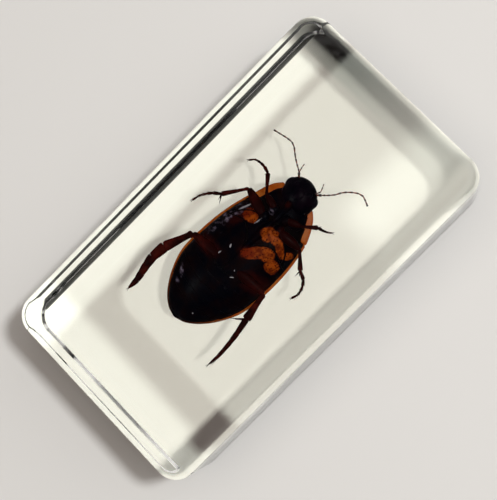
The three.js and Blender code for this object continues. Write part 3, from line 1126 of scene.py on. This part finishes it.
def unseen(piece):
    """Leaves a stage piece only its shadow."""
    piece.data.materials.append(TABLE)
    for ray in ("camera", "diffuse", "glossy", "transmission", "volume_scatter"):
        setattr(piece, "visible_" + ray, False)
    return piece


def wall_sheets():
    """Sheets that stand where the block's walls are, and only stop a lamp's light as those walls do."""
    walls = round_cornered_box("all_walls", BLOCK_LOW, BLOCK_HIGH, 8)
    pick_level_faces(walls)
    bpy.ops.mesh.delete(type="FACE")
    to_mode("OBJECT")
    return unseen(walls)


def level_sheet(name, corner_low, corner_high, height):
    (x0, y0), (x1, y1) = corner_low, corner_high
    deselect()
    bpy.ops.mesh.primitive_plane_add(size=1, location=((x0 + x1) / 2, (y0 + y1) / 2, height))
    sheet = called(name)
    sheet.scale = (x1 - x0, y1 - y0, 1)
    return settle(sheet)


def paper_sheet():
    """A sheet of bright paper that lies under the block."""
    inset = Vector((PAPER_INSET, PAPER_INSET))
    sheet = level_sheet("paper", BLOCK_LOW.xy + inset, BLOCK_HIGH.xy - inset, AIR_GAP / 3)
    edit(sheet)
    select_whole_mesh()
    bpy.ops.mesh.bevel(offset=CORNER_RADIUS - PAPER_INSET, segments=12, affect="VERTICES")
    to_mode("OBJECT")
    sheet.data.materials.append(paper_material())
    return sheet


def camera():
    tilt_x, tilt_y, turn = CAMERA_TILTS
    into_view = (
        Matrix.Rotation(turn, 3, "Z") @ Matrix.Rotation(tilt_y, 3, "Y") @ Matrix.Rotation(tilt_x, 3, "X")
    )
    data = bpy.data.cameras.new("camera")
    eye = bpy.data.objects.new("camera", data)
    bpy.context.scene.collection.objects.link(eye)
    data.sensor_width = SENSOR_WIDTH
    data.lens = FOCAL_PIXELS * SENSOR_WIDTH / FRAME_PIXELS
    data.clip_start = 0.005
    eye.location = CAMERA_AT
    eye.rotation_euler = into_view.transposed().to_euler()
    bpy.context.scene.camera = eye


def lamp(name, toward, distance, width, strength, colour, lit, blockers, mirrored=False):
    """A round lamp that shines on the block from a far point in the direction `toward`. It lights only the
    pieces `lit` and only the `blockers` stop it; where it is not `mirrored`, nothing shows its image."""
    place = Vector(toward).normalized() * distance
    data = bpy.data.lights.new(name, "AREA")
    data.shape = "DISK"
    data.size = width
    data.energy = strength
    data.color = colour
    light = bpy.data.objects.new(name, data)
    bpy.context.scene.collection.objects.link(light)
    light.location = place
    light.rotation_euler = (-place).to_track_quat("-Z", "Y").to_euler()
    light.visible_glossy = light.visible_transmission = mirrored
    for use, pieces in (("receiver", lit), ("blocker", blockers)):
        group = bpy.data.collections.new(use + " pieces of " + name)
        for piece in pieces:
            group.objects.link(piece)
        setattr(light.light_linking, use + "_collection", group)


def lean_lamp(name, lean, width, strength, colour, lit, blockers, mirrored=True):
    """A far small lamp whose light leans over by `lean` for each unit that it falls."""
    lamp(name, (-lean[0], -lean[1], 1), LAMP_FAR, width, strength, colour, lit, blockers, mirrored)


def screen(name, gap_low, gap_high):
    """A wide level sheet just over the block's top, open only from gap_low to gap_high."""
    (x0, y0), (x1, y1) = gap_low, gap_high
    borders = [((-SCREEN_REACH, -SCREEN_REACH), (x0, SCREEN_REACH)),
               ((x1, -SCREEN_REACH), (SCREEN_REACH, SCREEN_REACH)),
               ((x0, -SCREEN_REACH), (x1, y0)),
               ((x0, y1), (x1, SCREEN_REACH))]
    sheets = [level_sheet(name, *corners, BLOCK_HIGH.z + 2 * AIR_GAP) for corners in borders]
    return unseen(joined(sheets, name))


def strip_lamp(name, lean, width, strength, colour, lit, lit_low, lit_high):
    """A lean lamp let through a gap over the block, so that it lights only one rectangle of the paper."""
    moved = Vector(lean) * BLOCK_HIGH.z
    gap = screen("screen_of_" + name, Vector(lit_low) - moved, Vector(lit_high) - moved)
    lean_lamp(name, lean, width, strength, colour, lit, [gap], mirrored=False)


def surroundings():
    """Grey surroundings that only the block shows: black low down in front of it, and in a disc overhead
    that its top face mirrors towards the camera; brighter on the right."""
    world = bpy.data.worlds.new("room")
    bpy.context.scene.world = world
    world.use_nodes = True
    world.cycles_visibility.diffuse = False
    nodes = Nodes(world.node_tree)
    toward = nodes.add("ShaderNodeTexCoord").outputs["Generated"]
    parts = nodes.split(toward)
    low = nodes.span(parts["Z"], 0.75, 0.45)
    front = nodes.span(parts["Y"], -0.35, -0.6)
    away = nodes.add("ShaderNodeVectorMath", {0: toward, 1: DARK_DISC_AT}, operation="DISTANCE")
    overhead = nodes.span(away.outputs["Value"], 0.34, 0.22)
    dark = nodes.math("MAXIMUM", nodes.math("MULTIPLY", low, front), overhead)
    window = nodes.span(parts["X"], 0.45, 0.8)
    light = nodes.mix(window, ROOM_GREY, ROOM_BRIGHT)
    nodes.feed(nodes.mix(dark, light, ROOM_BLACK), world.node_tree.nodes["Background"].inputs["Color"])


ROOM_GREY, ROOM_BRIGHT, ROOM_BLACK = (0.6, 0.59, 0.56, 1), (0.95, 0.94, 0.88, 1), (0.006, 0.006, 0.006, 1)
DARK_DISC_AT = (-0.08, 0.15, 0.985)
WARM = (1.0, 0.96, 0.91)
COOL = (0.97, 1.0, 0.96)
LAMP_FAR = 1.2
WIDE_LAMP_FAR = 2.0
SCREEN_REACH = 0.6
RIGHT_LEAN = (-0.35, 0.29)        # inside the resin
SIDE_LEAN = (-0.175, 0.29)
LEFT_LEAN = (0.66, -0.4)
RIGHT_LEAN_OUTSIDE = (-0.43, 0.24)


def lights(table, paper, pieces):
    """The table is lit by lamps that throw the block's shadow. Inside the block every lamp's light leans
    less, and the walls stop it on one side and throw it back on the other, so the paper and the beetle have
    lamps of their own: three that the walls stop, and one for each bright strip or patch along a wall."""
    inside = [paper, *pieces]
    walls = [wall_sheets()]
    lean_lamp("lamp_outside", RIGHT_LEAN_OUTSIDE, 0.13, 9.2, (0.98, 1.0, 1.0), [table], walls)
    for name, toward, strength, colour in (("sky_outside", (0, 0, 1), 16.0, (1.0, 0.9, 0.82)),
                                           ("window_outside", (0.8, -0.35, 1), 10.0, (1.0, 1.0, 1.0))):
        lamp(name, toward, WIDE_LAMP_FAR, WIDE_LAMP_FAR, strength, colour, [table], walls)

    lean_lamp("lamp_right", RIGHT_LEAN, 0.06, 4.5, WARM, inside, walls)
    lean_lamp("lamp_side", SIDE_LEAN, 0.09, 3.6, WARM, inside, walls + pieces)
    lean_lamp("lamp_left", LEFT_LEAN, 0.06, 3.7, COOL, inside, walls)
    low, high = BLOCK_LOW, BLOCK_HIGH
    strip_x, strip_y = (abs(share) * high.z for share in RIGHT_LEAN)   # how wide the strips are
    strip_lamp("strip_at_left_wall", (0.35, 0.29), 0.16, 6.0, COOL, inside,
               (low.x, low.y + strip_y), (low.x + strip_x, high.y))
    strip_lamp("strip_at_left_corner", (0.35, 0.29), 0.12, 5.0, COOL, inside,
               (low.x, low.y), (low.x + 5 * MM, low.y + strip_y))
    strip_lamp("strip_at_back_wall", (-0.3, -0.29), 0.12, 6.6, COOL, inside,
               (low.x, high.y - strip_y), (high.x - 6 * MM, high.y))
    strip_lamp("strip_at_front_wall", (0.66, 0.35), 0.12, 4.8, WARM, inside,
               (low.x + LEFT_LEAN[0] * high.z, low.y), (high.x, low.y + strip_y))
    strip_lamp("glow_at_right_corner", (-0.2, 0.1), 0.35, 4.2, COOL, inside,
               (15 * MM, low.y + strip_y), (high.x, -5.5 * MM))


beetle()
resin_block()
camera()
surroundings()
lights(floor(), paper_sheet(), BEETLE_PIECES)
bpy.context.scene.view_settings.view_transform = "Standard"
bpy.context.scene.cycles.caustics_refractive = False
bpy.context.scene.cycles.caustics_reflective = False

bpy.context.view_layer.update()
